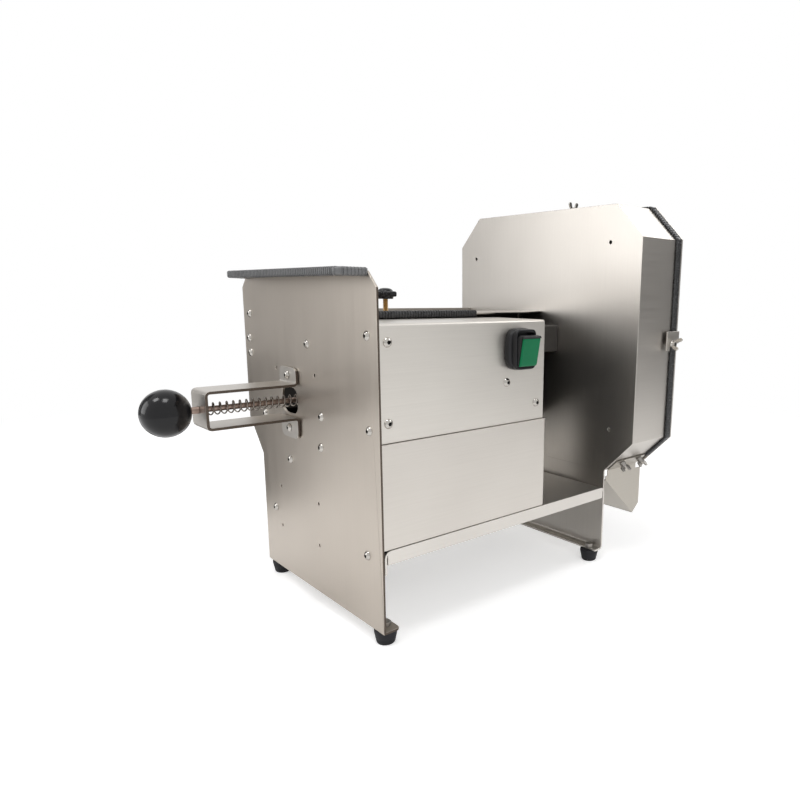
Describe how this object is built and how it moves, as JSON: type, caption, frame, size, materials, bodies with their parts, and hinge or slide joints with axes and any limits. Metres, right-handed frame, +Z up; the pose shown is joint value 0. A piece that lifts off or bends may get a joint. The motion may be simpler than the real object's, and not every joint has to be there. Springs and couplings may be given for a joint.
{
  "type": "meat strip slicer",
  "caption": "Bench slicer in folded stainless sheet: a sprung pull-knob pusher feeds a trough towards a spinning knife disc in an eight-sided housing with a drop chute.",
  "frame": {"origin": "middle of the overall box, on the surface that the feet stand on", "axes": "+X from the pusher knob to the knife housing, +Y from the switch side to the back, +Z up"},
  "size_m": [0.4856, 0.3114, 0.4003],
  "materials": {
    "sheet_steel": "brushed",
    "dark_steel": "machined",
    "knife_steel": "ground",
    "black_rubber": "knurled",
    "black_plastic": "satin",
    "knob_plastic": "gloss",
    "green_plastic": "satin",
    "brass": "turned",
    "motor_paint": "enamel"
  },
  "bodies": {
    "frame": {"side_plate": "sheet_steel", "side_plate_strip": "black_rubber", "guide_bracket": "sheet_steel", "bracket_screw_1": "dark_steel", "bracket_screw_2": "dark_steel", "return_spring": "knife_steel", "base": "sheet_steel", "lower_cover": "sheet_steel", "upper_cover": "sheet_steel", "switch_bezel": "black_plastic", "cord_gland": "black_plastic", "bearing_block": "dark_steel", "left_bearing": "knife_steel", "right_bearing": "knife_steel", "drive_belt": "black_rubber", "motor": "motor_paint", "motor_bracket": "dark_steel", "knife_housing": "sheet_steel", "housing_strip": "black_rubber", "tongue_bolt_1": "dark_steel", "tongue_bolt_2": "dark_steel", "tongue_bolt_3": "dark_steel", "chute": "sheet_steel", "trough": "sheet_steel", "deck_strip": "black_rubber", "star_nut": "dark_steel", "foot_1": "black_rubber", "foot_screw_1": "dark_steel", "foot_2": "black_rubber", "foot_screw_2": "dark_steel", "foot_3": "black_rubber", "foot_screw_3": "dark_steel", "foot_4": "black_rubber", "foot_screw_4": "dark_steel"},
    "pusher": {"ball_knob": "knob_plastic", "knob_locknut": "dark_steel", "pusher_rod": "sheet_steel", "pusher_head": "sheet_steel"},
    "knife_spindle": {"knife_shaft": "knife_steel", "driven_pulley": "dark_steel", "knife_disc": "knife_steel", "knife_1": "knife_steel", "knife_2": "knife_steel", "disc_nut": "dark_steel"},
    "motor_spindle": {"motor_shaft": "knife_steel", "motor_pulley": "dark_steel"},
    "rocker": {"switch_rocker": "green_plastic"},
    "star": {"star_knob": "black_plastic", "star_stud": "brass"},
    "cover": {"housing_cover": "sheet_steel"},
    "clip_near": {"clip_screw_near": "dark_steel"},
    "clip_top": {"clip_screw_top": "dark_steel"},
    "clip_far": {"clip_screw_far": "dark_steel"},
    "chute_near_1": {"chute_nut_near_1": "dark_steel"},
    "chute_near_2": {"chute_nut_near_2": "dark_steel"},
    "chute_far_1": {"chute_nut_far_1": "dark_steel"},
    "chute_far_2": {"chute_nut_far_2": "dark_steel"}
  },
  "joints": [
    {"name": "pusher_slide", "type": "slide", "parent": "frame", "child": "pusher", "axis": [1, 0, 0], "range_m": [-0.2, 0], "stiffness_N_per_m": 60, "springref_m": 0.05, "deforming": ["return_spring"]},
    {"name": "knife_spin", "type": "hinge", "parent": "frame", "child": "knife_spindle", "pos_m": [0.17365, -0.00005, 0.244], "axis": [1, 0, 0], "continuous": true},
    {"name": "motor_spin", "type": "hinge", "parent": "frame", "child": "motor_spindle", "pos_m": [0.03365, -0.05985, 0.129], "axis": [1, 0, 0], "continuous": true},
    {"name": "rocker_tilt", "type": "hinge", "parent": "frame", "child": "rocker", "pos_m": [0.03932, -0.11115, 0.2434], "axis": [1, 0, 0], "range_deg": [-20, 0]},
    {"name": "star_turn", "type": "hinge", "parent": "frame", "child": "star", "pos_m": [-0.04068, -0.00785, 0.287], "axis": [0, 0, 1], "range_deg": [0, 360]},
    {"name": "cover_lift_off", "type": "slide", "parent": "frame", "child": "cover", "axis": [1, 0, 0], "range_m": [0, 0.06]},
    {"name": "clip_near_turn", "type": "hinge", "parent": "cover", "child": "clip_near", "pos_m": [0.22912, -0.14495, 0.2425], "axis": [0, 1, 0], "range_deg": [0, 360]},
    {"name": "clip_top_turn", "type": "hinge", "parent": "cover", "child": "clip_top", "pos_m": [0.22912, 0, 0.3895], "axis": [0, 0, 1], "range_deg": [0, 360]},
    {"name": "clip_far_turn", "type": "hinge", "parent": "cover", "child": "clip_far", "pos_m": [0.22912, 0.14495, 0.2425], "axis": [0, 1, 0], "range_deg": [0, 360]},
    {"name": "chute_near_1_turn", "type": "hinge", "parent": "frame", "child": "chute_near_1", "pos_m": [0.19331, -0.11289, 0.11254], "axis": [0, 0.7071, 0.7071], "range_deg": [0, 360]},
    {"name": "chute_near_2_turn", "type": "hinge", "parent": "frame", "child": "chute_near_2", "pos_m": [0.22431, -0.11289, 0.11254], "axis": [0, 0.7071, 0.7071], "range_deg": [0, 360]},
    {"name": "chute_far_1_turn", "type": "hinge", "parent": "frame", "child": "chute_far_1", "pos_m": [0.19331, 0.11289, 0.11254], "axis": [0, -0.7071, 0.7071], "range_deg": [0, 360]},
    {"name": "chute_far_2_turn", "type": "hinge", "parent": "frame", "child": "chute_far_2", "pos_m": [0.22431, 0.11289, 0.11254], "axis": [0, -0.7071, 0.7071], "range_deg": [0, 360]}
  ],
  "couplings": [
    {"joint": "motor_spin", "follows": "knife_spin", "ratio": 1.5645}
  ]
}
